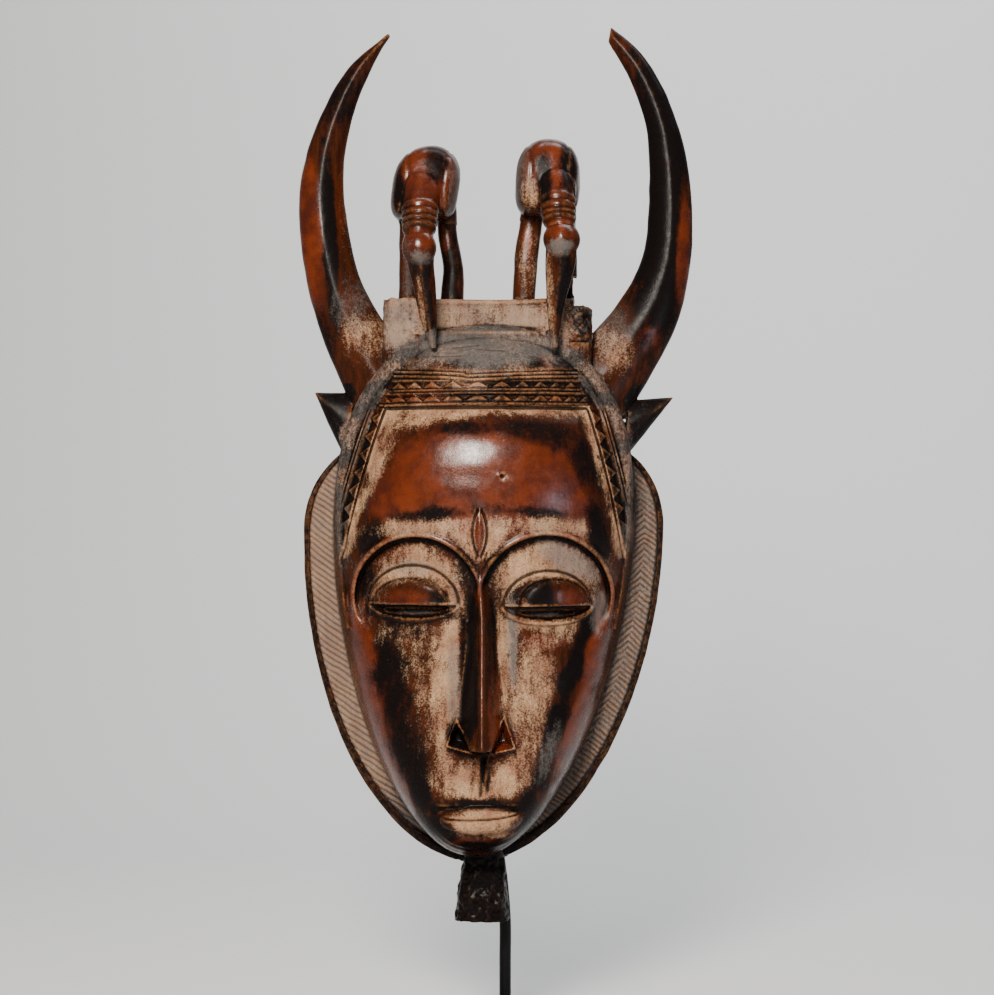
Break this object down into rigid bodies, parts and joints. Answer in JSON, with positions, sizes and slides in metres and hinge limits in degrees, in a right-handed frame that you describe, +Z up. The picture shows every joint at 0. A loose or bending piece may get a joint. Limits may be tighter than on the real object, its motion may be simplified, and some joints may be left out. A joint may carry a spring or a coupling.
{
  "type": "carved face mask on a stand",
  "caption": "Carved wooden yaure face mask with horns and hornbills above the brow, held up on a black rod with a plate foot.",
  "frame": {"origin": "middle of the underside of the stand's foot", "axes": "+Z up through the horns; the face looks toward -Y, and +X is to the right in the front view"},
  "size_m": [0.2004, 0.104, 0.5198],
  "materials": {
    "polished_wood": "dark red-brown, worn and polished, with pale dust in the recesses",
    "black_paint": "satin black paint on steel"
  },
  "bodies": {
    "root": {"mask": "polished_wood", "stand_rod": "black_paint", "stand_base": "black_paint"}
  },
  "joints": []
}
